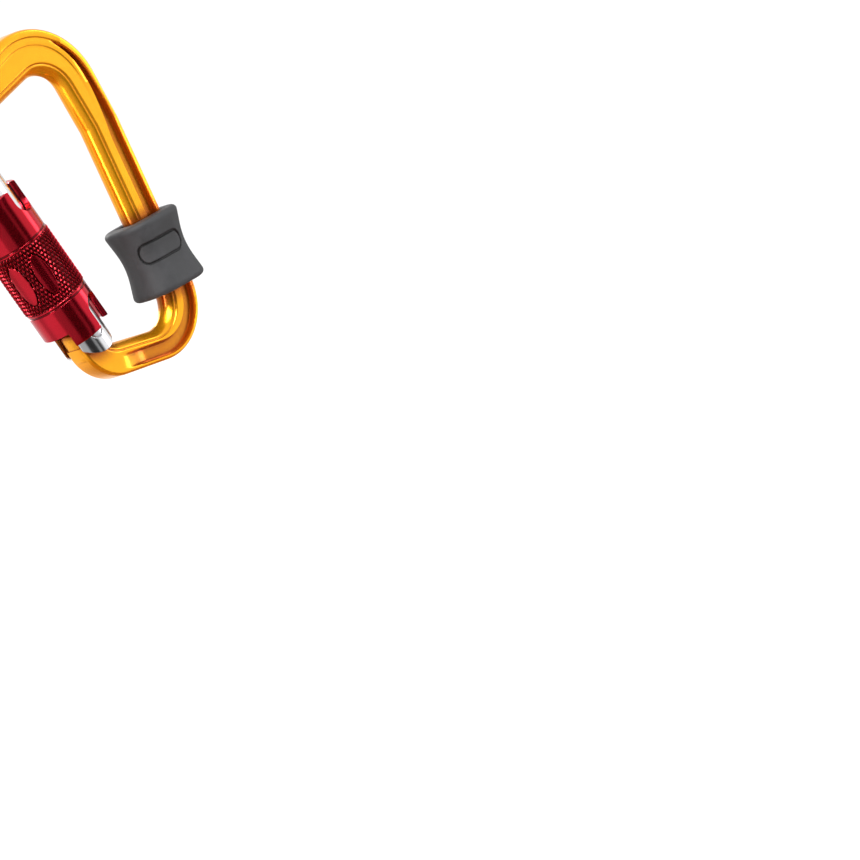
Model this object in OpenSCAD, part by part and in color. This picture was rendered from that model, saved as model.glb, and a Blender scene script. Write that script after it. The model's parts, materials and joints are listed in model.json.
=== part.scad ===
// Locking carabiner: forged H-section body, sprung gate, twisting locking sleeve, rubber rope keeper.
// X runs from the gate to the spine, Y through the thickness, Z along the spine to the wide nose end.
// The shapes are drawn with the gate's hinge pin at x = z = 0, then moved to the centre of the whole.

/* [Body] */
// Thickness of the forged body
body_t = 7; // [6.6:0.1:7.4]
// Outer face of the spine, from the hinge pin
spine_outer_x = 40.4; // [40:0.1:40.8]
// Inner, rope-bearing face of the spine, from the hinge pin
spine_inner_x = 29.5; // [29.2:0.1:29.9]
// Width of the inner flange beside the recess
inner_flange = 5.1; // [4.6:0.1:5.6]
// Width of the thin outer flange
outer_flange = 1.1; // [1:0.1:1.4]
// Thickness of the web between the two recesses
web_t = 3.2; // [2.6:0.1:4]

/* [Gate] */
// Lean of the gate away from the spine, in degrees
gate_lean = 12.8; // [12.4:0.1:13]
// Hinge pin to the gate's end face
gate_len = 56.5; // [56.2:0.1:56.6]
// Radius of the gate's bright upper end
gate_r = 7; // [6.9:0.05:7.1]
// Radius of the slimmer shank inside the sleeve
shank_r = 5.3; // [5.1:0.05:5.3]
// Radius of the gate's foot, with its two hinge ears
foot_r = 6.7; // [6.5:0.05:6.7]
// Radius of the hinge rivet
pin_r = 1.5; // [1.3:0.1:1.6]

/* [Locking sleeve] */
// Bore radius of the sleeve
sleeve_bore_r = 7.3; // [7.25:0.05:7.4]
// Outer radius of the smooth collars
collar_r = 8.95; // [8.8:0.05:9.1]
// Outer radius of the knurled band
knurl_r = 9.2; // [9.1:0.05:9.4]
// Middle of the knurled band, along the gate from the hinge pin
knurl_mid = 21; // [20.5:0.1:21.5]
// Length of the knurled band
knurl_len = 17; // [16:0.1:17.5]
// Upper rim, along the gate from the hinge pin
sleeve_top = 44.2; // [43.6:0.1:45]
// Lower rim on the side of the hinge tang
sleeve_low = 4; // [3.6:0.1:4.2]
// Lower rim round the notched side
lobe_low = 0; // [-0.4:0.1:0.4]
// Depth of the upper notch
top_notch = 8; // [7:0.1:8.5]
// Depth of the lower notch
low_notch = 9; // [8:0.1:10]
// Width of both notches
notch_w = 8.2; // [7:0.1:9]
// Turn of the sleeve from locked to free, in degrees
sleeve_turn = 90; // [80:1:90]

/* [Rope keeper] */
// Height of the rubber keeper
keeper_h = 20.4; // [19:0.1:21]
// Half width of its upper lip, across the spine
keeper_half = 10.8; // [10.6:0.1:11]
// Inward offset of the keeper from the middle of the spine
keeper_in = 0.3; // [0:0.1:0.6]

/* [Hidden] */
$fn = 96;

gold = "goldenrod";
silver = "silver";
red = "firebrick";
black = "dimgray";
steel = "slategray";

gap = 0.3;      // between faces that pass each other
run_gap = 0.06; // radial clearance of parts that turn in each other
eps = 0.01;
arc_step = 5;   // degrees between the points of an outline's arcs

// Outline discs [x, z, radius], anticlockwise from below the hinge; straight tangents join them
outer_discs = [
    [8.5, -2.2, 13],
    [spine_outer_x - 16.5, -0.9, 16.5],
    [spine_outer_x - 12, 46, 12],
    [19, 58.3, 20.4],
    [-7.5, 59.4, 12]];
window_discs = [
    [9.5, -0.2, 6],
    [spine_inner_x - 7.5, -0.9, 7.5],
    [spine_inner_x - 5, 46, 5],
    [20.4, 58.6, 7.5],
    [-3.4, 56.6, 4]];
// The blade that the gate hinges on: its round top is the plunger's cam
cam = [2, 0.3, 4.2];
tang_discs = [cam, [-3, 0.4, 2.1], [-1.5, -5.6, 2.5], [1.4, -7.2, 3.2]];

recess_deep = (body_t - web_t) / 2;
recess_hinge_r = 11;
recess_nose_x = -7;
nose_r = gate_len + gap;
channel_low = -1.9;
channel_half = 10;
ear_r = 6.4;
slot_half = body_t / 2 + 0.25;
slot_roof = 5.3;
foot_top = slot_roof + 1;

// Keyed nose: a bulb on a neck, swept about the hinge so that it leaves the gate freely
key_at = 53.8;
key_r = 2.1;
key_neck = 2.2;
key_half_angle = 4.8;
key_stop_angle = 0.2;

plunger_r = 2.3;
bore_r = plunger_r + run_gap;
bore_top = 26;
cam_top = cam[2] + cam[1] * cos(gate_lean) - cam[0] * sin(gate_lean);
plunger_low = cam_top + 0.08;
plunger_head = 2.5;
plunger_stem = 5;
plunger_stem_r = 1.1;
spring_wire_r = 0.28;
gate_coil_r = 1.7;
gate_coil_turns = 9;

head_low = 34;
bush_low = foot_top + 0.2;
bush_top = 11;
ring_low = 27;
ring_t = 0.9;
ring_in_r = 4.75;
ring_out_r = 6.9;
ring_mouth = 60;
guide_low = 28.2;
guide_top = head_low - 0.4;
guide_pin_at = 30.8;
guide_pin_r = 1.2;
guide_pin_in = 1.6;
guide_pin_out = 6.9;
guide_pin_turn = 200;
guide_slot_r = guide_pin_r + 0.1;

sleeve_wire_r = 0.4;
sleeve_coil_r = 6.3;
sleeve_coil_turns = 8;
coil_steps = 16;
wire_sides = 6;

knurl_low = knurl_mid - knurl_len / 2;
knurl_high = knurl_mid + knurl_len / 2;
notch_turn = -61;  // both notches, from +X about the gate's axis
lobe_turns = [-144, 24]; // the lower rim is long between these, and short over the tang
groove_r = 0.25;

keeper_x = (spine_inner_x + spine_outer_x) / 2 - keeper_in;
keeper_z = -1.4;
keeper_depth = 0.8; // of its width
keeper_corner = 7;
keeper_waist = 1.3;
keeper_lip_h = 3;
keeper_foot = 0.3;

// Middle of the whole: nose corner to keeper in X, bottom bend to top bend in Z
x_min = outer_discs[4][0] - outer_discs[4][2];
x_max = keeper_x + keeper_half;
z_min = outer_discs[1][1] - outer_discs[1][2];
z_max = outer_discs[3][1] + outer_discs[3][2];
middle = [(x_min + x_max) / 2, 0, (z_min + z_max) / 2];

// Outward normal of the tangent from disc a to disc b, going anticlockwise
function tangent_normal(a, b) =
    let (d = [b[0] - a[0], b[1] - a[1]], u = d / norm(d), s = (a[2] - b[2]) / norm(d), c = sqrt(1 - s * s))
    [u[1] * c + u[0] * s, u[1] * s - u[0] * c];

// A closed outline round a ring of discs, grown evenly by "grow": arcs joined by straight tangents
module tangent_loop(discs, grow = 0) {
    count = len(discs);
    polygon([for (i = [0 : count - 1])
        let (disc = discs[i],
             before = tangent_normal(discs[(i + count - 1) % count], disc),
             after = tangent_normal(disc, discs[(i + 1) % count]),
             from = atan2(before[1], before[0]),
             sweep = (atan2(after[1], after[0]) - from + 720) % 360,
             steps = ceil(sweep / arc_step))
        for (k = [0 : steps])
            let (a = from + sweep * k / steps)
            [disc[0], disc[1]] + (disc[2] + grow) * [cos(a), sin(a)]]);
}

module centred() {
    translate(-middle) children();
}

// Stands a flat outline up in the XZ plane with thickness t about y = 0
module plate(t) {
    rotate([90, 0, 0]) linear_extrude(t, center = true) children();
}

// Local Z along the gate, away from the hinge
module on_gate() {
    rotate([0, -gate_lean, 0]) children();
}

// Sweeps a (radius, y) profile about the hinge pin, between two angles from the gate's axis
module about_hinge(from, to) {
    rotate([90, 0, 0]) rotate([0, 0, 90 + gate_lean + from]) rotate_extrude(angle = to - from) children();
}

module tube(r_out, r_in, low, high) {
    translate([0, 0, low]) difference() {
        cylinder(h = high - low, r = r_out);
        translate([0, 0, -eps]) cylinder(h = high - low + 2 * eps, r = r_in);
    }
}

// Round wire wound from "low" to "high" in all, with one close-wound turn at each end
module coil(r, wire_r, turns, low, high) {
    close = 2.3 * wire_r;
    pitch = (high - low - 2 * wire_r - 2 * close) / turns;
    steps = (turns + 2) * coil_steps;
    function rise(turn) = close * min(turn, 1) + pitch * min(max(turn - 1, 0), turns)
        + close * max(turn - turns - 1, 0);
    points = [for (i = [0 : steps], k = [0 : wire_sides - 1])
        let (turn = i / coil_steps, around = 360 * k / wire_sides, out = r + wire_r * cos(around))
        [out * cos(360 * turn), out * sin(360 * turn), low + wire_r + rise(turn) + wire_r * sin(around)]];
    sides = [for (i = [0 : steps - 1], k = [0 : wire_sides - 1])
        let (n = (k + 1) % wire_sides, a = i * wire_sides, b = a + wire_sides)
        [a + k, a + n, b + n, b + k]];
    ends = [[for (k = [wire_sides - 1 : -1 : 0]) k],
            [for (k = [0 : wire_sides - 1]) steps * wire_sides + k]];
    polyhedron(points, concat(sides, ends), convexity = 10);
}

// A U-shaped notch with a round bottom, cut inward from the side that "turn" faces
module notch(turn, width, bottom, mouth) {
    inner = bottom < mouth ? bottom + width / 2 : bottom - width / 2;
    low = min(inner, mouth);
    rotate([0, 0, turn]) {
        translate([0, 0, inner]) rotate([0, 90, 0]) cylinder(h = 2 * collar_r, r = width / 2);
        translate([0, -width / 2, low]) cube([2 * collar_r, width, abs(mouth - inner)]);
    }
}

module frame_recess() {
    difference() {
        tangent_loop(outer_discs, -outer_flange);
        tangent_loop(window_discs, inner_flange);
        circle(recess_hinge_r);
        translate([recess_nose_x - 20, 0]) square([20, z_max]);
    }
}

module frame_body() {
    color(gold) centred() difference() {
        union() {
            difference() {
                plate(body_t) difference() {
                    tangent_loop(outer_discs);
                    tangent_loop(window_discs);
                }
                gate_channel();
            }
            plate(body_t) tangent_loop(tang_discs);
            nose_key();
        }
        for (side = [-1, 1])
            translate([0, side * (web_t + recess_deep + eps) / 2, 0]) plate(recess_deep + eps) frame_recess();
        rotate([90, 0, 0]) cylinder(h = 2 * body_t, r = pin_r + run_gap, center = true);
    }
}

// The way between tang and nose that the gate and its sleeve fill
module gate_channel() {
    intersection() {
        on_gate() translate([-2 * channel_half, -body_t, channel_low]) cube([3 * channel_half, 2 * body_t, z_max]);
        rotate([90, 0, 0]) cylinder(h = 2 * body_t, r = nose_r, center = true);
    }
}

module key_profile(grow, reach) {
    translate([key_at, 0]) circle(key_r + grow);
    translate([key_at, -key_neck / 2 - grow]) square([reach, key_neck + 2 * grow]);
}

module nose_key() {
    about_hinge(-key_half_angle, key_half_angle) key_profile(0, nose_r - key_at + 1);
}

module gate() {
    color(silver) centred() difference() {
        intersection() {
            on_gate() {
                translate([0, 0, -ear_r]) cylinder(h = foot_top + ear_r, r = foot_r);
                cylinder(h = head_low, r = shank_r);
                translate([0, 0, head_low]) cylinder(h = gate_len - head_low + 1, r = gate_r);
            }
            union() {
                on_gate() translate([-gate_r, -gate_r, 0]) cube([2 * gate_r, 2 * gate_r, head_low]);
                rotate([90, 0, 0]) cylinder(h = 2 * gate_r, r = ear_r, center = true);
                rotate([90, 0, 0]) difference() {
                    cylinder(h = 2 * gate_r, r = gate_len, center = true);
                    cylinder(h = 3 * gate_r, r = head_low - 5, center = true);
                }
            }
        }
        on_gate() {
            translate([-gate_r, -slot_half, -gate_r]) cube([2 * gate_r, 2 * slot_half, gate_r + slot_roof]);
            cylinder(h = bore_top, r = bore_r);
            tube(shank_r + 1, ring_in_r, ring_low, ring_low + ring_t);
            rotate([0, 0, guide_pin_turn]) translate([guide_pin_in, 0, guide_pin_at])
                rotate([0, 90, 0]) cylinder(h = shank_r, r = guide_pin_r);
        }
        about_hinge(-key_half_angle - key_stop_angle, 3 * key_half_angle) key_profile(gap, gate_len - key_at + 2);
        rotate([90, 0, 0]) cylinder(h = 4 * gate_r, r = pin_r, center = true);
    }
}

module hinge_pin() {
    color(steel) centred() rotate([90, 0, 0]) cylinder(h = 2 * foot_r - 0.4, r = pin_r, center = true);
}

module gate_plunger() {
    color(silver) centred() on_gate() translate([0, 0, plunger_low]) {
        cylinder(h = plunger_head, r = plunger_r);
        cylinder(h = plunger_head + plunger_stem, r = plunger_stem_r);
    }
}

module gate_spring() {
    color(steel) centred() on_gate()
        coil(gate_coil_r, spring_wire_r, gate_coil_turns, plunger_low + plunger_head, bore_top);
}

module lower_bush() {
    color(black) centred() on_gate() tube(sleeve_bore_r - run_gap, shank_r, bush_low, bush_top);
}

module retaining_ring() {
    color(steel) centred() on_gate() difference() {
        tube(ring_out_r, ring_in_r, ring_low, ring_low + ring_t);
        rotate([0, 0, guide_pin_turn - ring_mouth / 2]) rotate_extrude(angle = ring_mouth)
            translate([ring_in_r - 1, ring_low - 1]) square([ring_out_r, ring_t + 2]);
    }
}

module guide_pin() {
    color(steel) centred() on_gate() rotate([0, 0, guide_pin_turn]) translate([guide_pin_in, 0, guide_pin_at])
        rotate([0, 90, 0]) cylinder(h = guide_pin_out - guide_pin_in, r = guide_pin_r);
}

module sleeve_spring() {
    color(steel) centred() on_gate()
        coil(sleeve_coil_r, sleeve_wire_r, sleeve_coil_turns, bush_top + 0.1, ring_low - 0.1);
}

module locking_sleeve() {
    color(red) centred() on_gate() difference() {
        union() {
            translate([0, 0, lobe_low]) cylinder(h = sleeve_top - lobe_low, r = collar_r);
            translate([0, 0, knurl_low]) cylinder(h = knurl_len, r = knurl_r);
        }
        translate([0, 0, lobe_low - 1]) cylinder(h = sleeve_top - lobe_low + 2, r = sleeve_bore_r);
        rotate([0, 0, lobe_turns[1]]) rotate_extrude(angle = 360 + lobe_turns[0] - lobe_turns[1])
            translate([sleeve_bore_r - 1, lobe_low - 1]) square([knurl_r, sleeve_low - lobe_low + 1]);
        notch(notch_turn, notch_w, sleeve_top - top_notch, sleeve_top + 1);
        notch(notch_turn, notch_w, lobe_low + low_notch, lobe_low - 1);
        for (z = [knurl_low - 1, knurl_high + 1])
            rotate_extrude() translate([collar_r, z]) circle(groove_r, $fn = 24);
    }
}

// Plastic bush pressed in the sleeve; the guide pin runs in its slot and stops the sleeve's turn
module guide_bush() {
    color(black) centred() on_gate() difference() {
        tube(sleeve_bore_r, shank_r + run_gap, guide_low, guide_top);
        rotate([0, 0, guide_pin_turn]) rotate_extrude(angle = sleeve_turn)
            translate([shank_r - 1, guide_pin_at - guide_slot_r]) square([gate_r, 2 * guide_slot_r]);
        for (turn = [0, sleeve_turn])
            rotate([0, 0, guide_pin_turn + turn]) translate([shank_r - 1, 0, guide_pin_at])
                rotate([0, 90, 0]) cylinder(h = gate_r, r = guide_slot_r);
    }
}

// A rounded bar of the keeper's plan, "half" wide across the spine
module keeper_slab(half, low, high) {
    deep = half * keeper_depth;
    flat_x = half - keeper_corner;
    flat_y = deep - keeper_corner;
    translate([keeper_x, 0, keeper_z + low]) linear_extrude(high - low) {
        square([2 * half, 2 * flat_y], center = true);
        square([2 * flat_x, 2 * deep], center = true);
        for (x = [-flat_x, flat_x], y = [-flat_y, flat_y])
            translate([x, y]) circle(keeper_corner);
    }
}

module rope_keeper() {
    hole = [spine_outer_x - spine_inner_x + 2 * run_gap, body_t + 2 * run_gap, 3 * keeper_h];
    color(black) centred() difference() {
        union() {
            keeper_slab(keeper_half - keeper_foot, 0, keeper_lip_h);
            keeper_slab(keeper_half - keeper_waist, keeper_lip_h, keeper_h - keeper_lip_h);
            keeper_slab(keeper_half, keeper_h - keeper_lip_h, keeper_h);
        }
        translate([(spine_inner_x + spine_outer_x) / 2, 0, 0]) cube(hole, center = true);
    }
}

frame_body();
gate();
hinge_pin();
gate_plunger();
gate_spring();
lower_bush();
retaining_ring();
guide_pin();
sleeve_spring();
locking_sleeve();
guide_bush();
rope_keeper();
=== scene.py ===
"""Looks of the locking carabiner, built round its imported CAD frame.

Sizes are in millimetres unless a comment says otherwise. Most points are given from the hinge, as (x, y, z),
or as (x, z) in the plane of the body. Points of the gate and the sleeve are (side, y, along the gate).
"""

import json
import math

import bmesh
import bpy
import numpy as np
from mathutils import Matrix, Vector


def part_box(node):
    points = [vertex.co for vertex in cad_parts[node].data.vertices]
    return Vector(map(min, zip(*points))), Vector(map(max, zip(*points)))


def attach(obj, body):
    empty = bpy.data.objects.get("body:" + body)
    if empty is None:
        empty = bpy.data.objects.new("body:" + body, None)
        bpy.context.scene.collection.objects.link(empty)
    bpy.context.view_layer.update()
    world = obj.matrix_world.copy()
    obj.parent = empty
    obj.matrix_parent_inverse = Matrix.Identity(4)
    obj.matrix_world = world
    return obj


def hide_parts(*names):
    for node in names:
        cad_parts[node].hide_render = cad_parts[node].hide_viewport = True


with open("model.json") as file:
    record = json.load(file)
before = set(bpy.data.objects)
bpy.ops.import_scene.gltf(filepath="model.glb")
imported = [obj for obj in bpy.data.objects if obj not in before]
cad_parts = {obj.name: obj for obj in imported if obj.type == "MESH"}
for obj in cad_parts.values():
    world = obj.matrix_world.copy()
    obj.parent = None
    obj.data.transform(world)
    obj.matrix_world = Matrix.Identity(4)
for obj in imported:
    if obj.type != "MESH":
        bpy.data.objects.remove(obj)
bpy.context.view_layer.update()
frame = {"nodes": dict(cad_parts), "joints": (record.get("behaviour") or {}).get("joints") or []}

MM = 0.001
JOINTS = {joint["name"]: joint for joint in frame["joints"]}
HINGE = np.array(JOINTS["gate_hinge"]["pos_m"], float)
GATE_UP = -np.array(JOINTS["sleeve_twist"]["axis"], float)
GATE_SIDE = np.array([GATE_UP[2], 0.0, -GATE_UP[0]])
THICKNESS = np.array([0.0, 1.0, 0.0])
GATE_LEAN = math.atan2(GATE_UP[2], GATE_UP[0])

# ---------------------------------------------------------------- body: outlines as discs (x, z, radius)
OUTER_DISCS = [
    (8.5, -2.2, 13.0), (23.9, -0.9, 16.5), (28.4, 46.0, 12.0), (19.0, 58.3, 20.4), (-7.5, 59.4, 12.0),
]
WINDOW_DISCS = [
    (9.5, -0.2, 6.0), (22.0, -0.9, 7.5), (24.5, 46.0, 5.0), (20.4, 58.6, 7.5), (-3.4, 56.6, 4.0),
]
TANG_DISCS = [(2.0, 0.3, 4.2), (-3.0, 0.4, 2.1), (-1.5, -5.6, 2.5), (1.4, -7.2, 3.2)]
HALF_T = 3.5
SPINE_OUTER = 40.4
SPINE_INNER = 29.5
TANG_HALF = 3.45
TANG_EDGE = 1.8
EAR_CLEAR_R = 4.2
CHANNEL_LOW = -1.9
GATE_LEN = 56.5
NOSE_R = GATE_LEN + 0.3

# Hinge rivet
PIN_R = 1.5
PIN_CLEAR = 0.06
HEAD_R = 2.1
HEAD_SEAT = 6.2
HEAD_CLEAR = 0.15
HEAD_PROUD = 0.12
HEAD_DOME = 0.35
TOOL_REACH = 12.0

# Section: rounded inner face, crease, recess behind a thin outer flange, rounded outer edge
INNER_ROUND = 2.6
ROUND_LONG = 8.6
CREASE_DEEP = 0.34
CREASE_WIDE = 0.26
WALL = 0.8
RECESS_WIDE = 4.4
RECESS_DEEP = 1.9
FLANGE_OUT = 1.05
RIM_GROWS = 1.0
OUTER_ROUND = 0.8
OUTER_DROP = 1.3
END_EDGE = 0.45

# Where the recess fades: by distance from the hinge, by x in the lower bend, by x in the top bend
RECESS_HINGE_R = (11.0, 15.0)
RECESS_LOW_X = (6.0, 16.0)
RECESS_TOP_X = (28.0, 35.0)
TOP_RULES_Z = (40.0, 56.0)

# Shallow relief on the top arm
RELIEF_Z = (50.0, 74.0)
RELIEF_X = (-14.0, -6.0)
BAND_DEEP = 0.22
BAND_EDGE = (1.0, 1.6)
STEP_DEEP = 0.25
STEP_WIDE = 0.5

# Grid of the body: stations along it, and columns across it
STATION_STEP = 0.9
RAIL_DENSE = 200
ACROSS_DENSE = 90
END_BLEND = 9.0
END_SHARES = np.array([0.0, 0.08, 0.2, 0.4, 0.7])
CREASE_MARKS = np.array([-0.3, -0.2, -0.1, 0.0, 0.1, 0.2, 0.3, 0.45, 0.7, 1.1])
ROUND_MARKS = 1 - np.cos(np.radians(np.linspace(0, 84, 12)))
WINDOW_MARKS = np.append(INNER_ROUND * ROUND_MARKS, INNER_ROUND + CREASE_MARKS)
OUTER_MARKS = OUTER_ROUND * (1 - np.cos(np.radians(np.linspace(90, 0, 7))))
WALL_MARKS = WALL * np.linspace(0, 1, 6)
BAND_MARKS = np.linspace(BAND_EDGE[1], BAND_EDGE[0], 4)
LEAST_GAP = 0.0012

# Key in the nose, and its slot in the gate
KEY_AT = 53.8
KEY_R = 2.1
KEY_NECK = 1.1
KEY_HALF_ANGLE = 4.8
KEY_CLEAR = 0.3

# ---------------------------------------------------------------- gate
GATE_R = 7.0
SHANK_R = 5.3
EAR_R = 6.1
EAR_TOP = 5.9
FOOT_R = 6.7
FOOT_LOW = -7.5
FOOT_TOP = 6.3
HEAD_LOW = 34.0
SLOT_HALF = 3.75
SLOT_ROOF = 5.3

# ---------------------------------------------------------------- sleeve
BORE_R = 7.3
COLLAR_R = 8.95
SLEEVE_TOP = 44.2
SLEEVE_LOW = 4.0
LOBE_LOW = 0.0
LONG_RIM = (-144.0, 24.0)
RIM_ROUND = 0.35
GROOVE_R = 0.28
TOP_NOTCH = 8.0
LOW_NOTCH = 9.0
NOTCH_W = 8.2
NOTCH_TURN = -61.0
KNURL_R = 9.2
KNURL_LOW = 12.5
KNURL_HIGH = 29.5
DIAMONDS = 52
DIAMOND_T = 1.12
DIAMOND_DEEP = 0.5
AROUND = 8 * DIAMONDS
ROWS_PER_DIAMOND = 8
PAD_TURNS = (-163.0, -119.0, 17.0, 61.0)
PAD_HALF_W = 2.25
PAD_HALF_H = 6.0
PAD_SUNK = 0.12
PAD_CROWN = 0.1
MOAT_AT = 1.06
MOAT_WIDE = 0.05
MOAT_DEEP = 0.3

# ---------------------------------------------------------------- rope keeper
KEEPER_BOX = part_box("rope_keeper")
KEEPER_SIDES = 360
KEEPER_ROWS = 110
KEEPER_CORNER = 7.6
KEEPER_WAIST = 1.6
KEEPER_TAPER = 0.3
LIP_R = 1.6
HOLE_CLEAR = 0.06
HOLE_CORNER = 0.4
HOLE_FLARE = [(0.6, 0.0), (0.25, 0.15), (0.0, 0.6)]
BADGE_HALF = 8.3
BADGE_HIGH = 2.7
BADGE_LINE = 0.3
BADGE_BLUR = 0.12
BADGE_DEEP = 0.45
BADGE_SHIFT = -3.1
BADGE_LIFT = 1.6

# ---------------------------------------------------------------- materials; painted gap shade and bevel sizes in metres
# gaps and gap colour: painted shade for gold and red, darkening the base colour in hollows: brown in the gold's
# recess and creases, darker in the red knurl and grooves
METALS = {
    "gold": {"dark": (0.97, 0.37, 0.005), "light": (1.0, 0.42, 0.008), "rough": 0.22, "coat": 0.25,
             "metallic": 0.84, "gaps": 0.0045, "gap_shade_colour": (0.4, 0.22, 0.4)},
    "silver": {"dark": (0.82, 0.83, 0.85), "light": (0.9, 0.9, 0.91), "rough": 0.16, "bevel": 0.00025},
    "red": {"dark": (0.5, 0.004, 0.016), "light": (0.62, 0.006, 0.026), "rough": 0.15, "coat": 0.3,
            "bevel": 0.00015, "metallic": 0.96, "gaps": 0.0006, "gap_shade_colour": (0.1, 0.05, 0.05)},
    "steel": {"dark": (0.5, 0.51, 0.53), "light": (0.62, 0.62, 0.63), "rough": 0.28},
    "wire": {"dark": (0.35, 0.36, 0.38), "light": (0.5, 0.5, 0.52), "rough": 0.3},
}
RUBBER_DARK = (0.018, 0.0185, 0.02)
RUBBER_LIGHT = (0.03, 0.03, 0.033)
# reach of the painted shade in the rubber's grooves, in metres
RUBBER_SHADE_REACH = 0.0009
PLASTIC_DARK = (0.015, 0.015, 0.017)
PLASTIC_LIGHT = (0.035, 0.035, 0.037)

# ---------------------------------------------------------------- camera, stage, light; metres and degrees
CAMERA_TURN = 42.0
CAMERA_RISE = 9.0
CAMERA_ROLL = 24.4
CAMERA_LENS = 220.0
VIEW_WIDE = 0.2263
VIEW_RIGHT = 0.0733
VIEW_DOWN = 0.06095
FLOOR_HALF = 6.0
FLOOR_DROP = 0.16

# name: direction, distance, (width, height), watts
LIGHTS = {
    "key": ((-0.35, -0.55, 0.9), 0.9, (0.5, 0.5), 9.0),
    "left": ((-1.0, -0.25, 0.25), 0.8, (0.18, 0.7), 3.5),
    "right": ((0.9, -0.6, 0.1), 0.9, (0.25, 0.8), 2.0),
    "back": ((0.3, 1.0, 0.5), 1.2, (0.6, 0.6), 6.0),
}

# Upright bands of the studio that the metal reflects: (share of a turn about Z, brightness)
BANDS = [
    (0.0, 0.55), (0.09, 0.75), (0.14, 1.0), (0.34, 1.0), (0.38, 0.62), (0.46, 1.0), (0.53, 1.0), (0.56, 0.45),
    (0.63, 0.42), (0.655, 0.02), (0.73, 0.02), (0.745, 0.3), (0.76, 0.3), (0.772, 0.02), (0.795, 0.02),
    (0.82, 1.0), (0.97, 1.0),
]
STUDIO_TOP = (1, 1, 1, 1)
STUDIO_TOP_Z = (0.35, 0.75)
STUDIO_BELOW = (0.3, 0.08, 0.04, 1)
STUDIO_BELOW_Z = (-0.45, -0.75)
STUDIO_STRENGTH = 0.95
BACKDROP_STRENGTH = 1.05


# ---------------------------------------------------------------- places
def to_world(points):
    """Hinge-relative (x, y, z) in mm to the row frame in metres."""
    return HINGE + MM * np.asarray(points, float)


def on_gate(points):
    """Gate-local (side, y, along) to hinge-relative points."""
    points = np.asarray(points, float)
    return points[:, :1] * GATE_SIDE + points[:, 1:2] * THICKNESS + points[:, 2:] * GATE_UP


def across_body(points):
    """Section points (p, q) in the plane of the body at height h towards -Y, from the hinge."""
    return np.asarray(points, float)[:, [0, 2, 1]] * (1, -1, 1)


def across_gate(points):
    """Section points (side, along) in the plane of the body at height h towards -Y, on the gate."""
    return on_gate(across_body(points))


def about_hinge(points):
    """Points turned about +Z to points turned about the hinge's axis."""
    return np.asarray(points, float)[:, [0, 2, 1]]


def gate_along(points):
    """Distance along the gate's axis of hinge-relative (x, z) points."""
    return points[:, 0] * GATE_UP[0] + points[:, 1] * GATE_UP[2]


def hinge_gap(points, radius):
    """How far hinge-relative (x, z) points lie outside a circle about the hinge."""
    return np.hypot(points[:, 0], points[:, 1]) - radius


def smoothstep(x, low, high):
    """0 at low, 1 at high, smooth between."""
    u = np.clip((np.asarray(x, float) - low) / (high - low), 0, 1)
    return u * u * (3 - 2 * u)


def arc(radius, start, stop, count):
    """Points on a circle about the origin, between two angles in radians."""
    angles = np.linspace(start, stop, count)
    return radius * np.stack([np.cos(angles), np.sin(angles)], 1)


# ---------------------------------------------------------------- mesh helpers
def shade(obj, sharp):
    """Smooth shading that breaks at edges sharper than `sharp` degrees."""
    obj.data.shade_smooth()
    obj.data.set_sharp_from_angle(angle=math.radians(sharp))


def new_object(name, points, faces, sharp=35.0):
    """A mesh object from row-frame points in metres, with its normals facing outwards."""
    mesh = bpy.data.meshes.new(name)
    mesh.from_pydata([tuple(p) for p in points], [], [tuple(int(i) for i in f) for f in faces])
    mesh.validate()
    shell = bmesh.new()
    shell.from_mesh(mesh)
    bmesh.ops.recalc_face_normals(shell, faces=shell.faces)
    shell.to_mesh(mesh)
    shell.free()
    mesh.update()
    obj = bpy.data.objects.new(name, mesh)
    bpy.context.scene.collection.objects.link(obj)
    shade(obj, sharp)
    return obj


def grid_faces(rows, cols, wrap_rows=False, wrap_cols=False):
    """Quads of a rows x cols grid of points, wrapped round where asked."""
    faces = []
    for i in range(rows if wrap_rows else rows - 1):
        for j in range(cols if wrap_cols else cols - 1):
            row, next_row = i * cols, ((i + 1) % rows) * cols
            next_col = (j + 1) % cols
            faces.append((row + j, row + next_col, next_row + next_col, next_row + j))
    return faces


def tube_faces(rows, cols):
    """Quads of a tube of rows rings with cols points each, closed with a face at both ends."""
    first = tuple(range(cols - 1, -1, -1))
    last = tuple((rows - 1) * cols + k for k in range(cols))
    return grid_faces(rows, cols, wrap_cols=True) + [first, last]


def boolean(target, tool, operation, sharp=35.0):
    """Applies an exact boolean to target and removes the tool."""
    modifier = target.modifiers.new("boolean", "BOOLEAN")
    modifier.operation = operation
    modifier.solver = "EXACT"
    modifier.object = tool
    bpy.context.view_layer.update()
    graph = bpy.context.evaluated_depsgraph_get()
    mesh = bpy.data.meshes.new_from_object(target.evaluated_get(graph))
    target.modifiers.clear()
    target.data = mesh
    bpy.data.objects.remove(tool)
    shade(target, sharp)


def unit(rows):
    """Each row at length 1."""
    return rows / np.linalg.norm(rows, axis=1)[:, None]


def at_level(outline, level):
    """Outline points with the same third coordinate."""
    return np.column_stack([outline, np.full(len(outline), level)])


def inward_normals(outline):
    """Unit normals of a closed anticlockwise outline, pointing into it."""
    ahead = np.roll(outline, -1, 0) - outline
    behind = outline - np.roll(outline, 1, 0)
    tangent = unit(unit(ahead) + unit(behind))
    return np.stack([-tangent[:, 1], tangent[:, 0]], 1)


def prism(name, outline, low, high, place, edge=0.0):
    """Solid between two copies of a closed outline, with its edges rounded by `edge`.

    place() takes rows of outline x, outline y and height, and gives hinge-relative points.
    """
    outline = np.asarray(outline, float)
    inward = inward_normals(outline)
    turns = np.radians(np.linspace(0, 90, 5)) if edge else [math.pi / 2]
    layers = [(edge * (1 - math.sin(turn)), low + edge * (1 - math.cos(turn))) for turn in turns]
    layers += [(inset, low + high - level) for inset, level in reversed(layers)]
    rings = [at_level(outline + inset * inward, level) for inset, level in layers]
    return new_object(name, to_world(place(np.concatenate(rings))), tube_faces(len(layers), len(outline)))


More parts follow.
